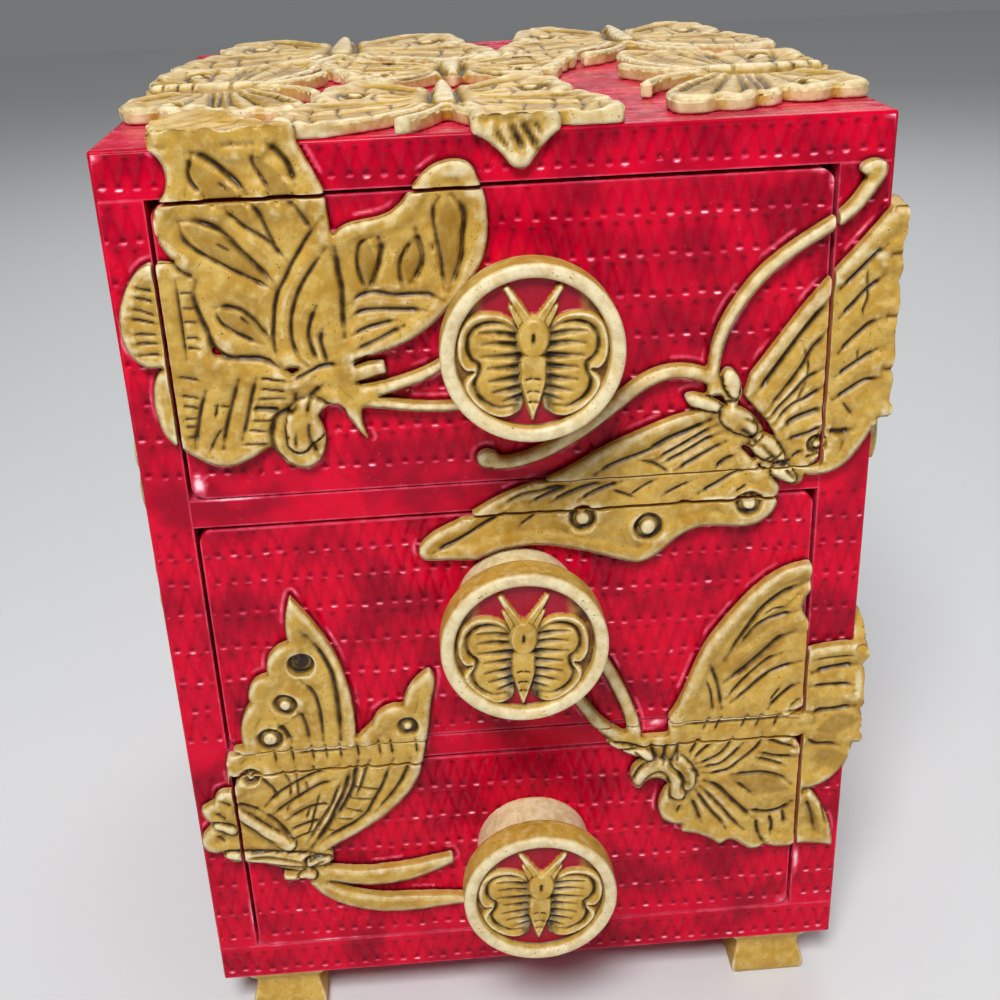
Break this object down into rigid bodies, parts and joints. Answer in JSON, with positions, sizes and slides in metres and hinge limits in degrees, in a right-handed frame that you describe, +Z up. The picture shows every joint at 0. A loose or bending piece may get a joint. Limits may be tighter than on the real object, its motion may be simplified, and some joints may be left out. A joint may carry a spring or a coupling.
{
  "type": "jewelry drawer box",
  "caption": "Small upright red lacquer jewellery box with inset drawers that slide out by carved disc knobs, block feet and raised butterflies.",
  "frame": {"origin": "on the surface the box stands on, below the middle of its overall width and depth, knobs included", "axes": "+Z up; the drawers open towards -Y; +X is to the right when facing the drawers"},
  "size_m": [0.1044, 0.1138, 0.1436],
  "materials": {
    "red_lacquer": "gloss red lacquer over wood, engraved",
    "ochre_carving": "satin ochre carving with dark wash in the cuts and worn cream ridges",
    "black_wood": "satin black paint over wood",
    "lining_felt": "dark red felt"
  },
  "bodies": {
    "case": {"top_panel": "red_lacquer", "bottom_panel": "red_lacquer", "left_side_panel": "red_lacquer", "right_side_panel": "red_lacquer", "upper_shelf": "red_lacquer", "lower_shelf": "red_lacquer", "back_panel": "red_lacquer", "front_left_foot": "ochre_carving", "front_right_foot": "ochre_carving", "back_left_foot": "ochre_carving", "back_right_foot": "ochre_carving", "upper_left_butterfly_case": "ochre_carving", "upper_right_butterfly_case": "ochre_carving", "lower_left_butterfly_case": "ochre_carving", "lower_right_butterfly_case": "ochre_carving", "top_front_butterfly": "ochre_carving", "top_left_butterfly": "ochre_carving", "top_right_butterfly": "ochre_carving", "top_middle_butterfly": "ochre_carving", "top_back_left_butterfly": "ochre_carving", "top_back_right_butterfly": "ochre_carving", "left_side_upper_butterfly": "ochre_carving", "left_side_middle_butterfly": "ochre_carving", "left_side_lower_butterfly": "ochre_carving", "right_side_upper_butterfly": "ochre_carving", "right_side_middle_butterfly": "ochre_carving", "right_side_lower_butterfly": "ochre_carving"},
    "drawer_top": {"drawer_top_front": "red_lacquer", "drawer_top_left_side": "black_wood", "drawer_top_right_side": "black_wood", "drawer_top_back": "black_wood", "drawer_top_bottom": "black_wood", "drawer_top_lining": "lining_felt", "drawer_top_knob_stem": "ochre_carving", "drawer_top_knob": "ochre_carving", "upper_left_butterfly_drawer_top": "ochre_carving", "upper_right_butterfly_drawer_top": "ochre_carving"},
    "drawer_middle": {"drawer_middle_front": "red_lacquer", "drawer_middle_left_side": "black_wood", "drawer_middle_right_side": "black_wood", "drawer_middle_back": "black_wood", "drawer_middle_bottom": "black_wood", "drawer_middle_lining": "lining_felt", "drawer_middle_knob_stem": "ochre_carving", "drawer_middle_knob": "ochre_carving", "upper_right_butterfly_drawer_middle": "ochre_carving", "lower_left_butterfly_drawer_middle": "ochre_carving", "lower_right_butterfly_drawer_middle": "ochre_carving"},
    "drawer_bottom": {"drawer_bottom_front": "red_lacquer", "drawer_bottom_left_side": "black_wood", "drawer_bottom_right_side": "black_wood", "drawer_bottom_back": "black_wood", "drawer_bottom_bottom": "black_wood", "drawer_bottom_lining": "lining_felt", "drawer_bottom_knob_stem": "ochre_carving", "drawer_bottom_knob": "ochre_carving", "lower_left_butterfly_drawer_bottom": "ochre_carving", "lower_right_butterfly_drawer_bottom": "ochre_carving"}
  },
  "joints": [
    {"name": "drawer_top_slide", "type": "slide", "parent": "case", "child": "drawer_top", "axis": [0, -1, 0], "range_m": [0, 0.075]},
    {"name": "drawer_middle_slide", "type": "slide", "parent": "case", "child": "drawer_middle", "axis": [0, -1, 0], "range_m": [0, 0.075]},
    {"name": "drawer_bottom_slide", "type": "slide", "parent": "case", "child": "drawer_bottom", "axis": [0, -1, 0], "range_m": [0, 0.075]}
  ]
}
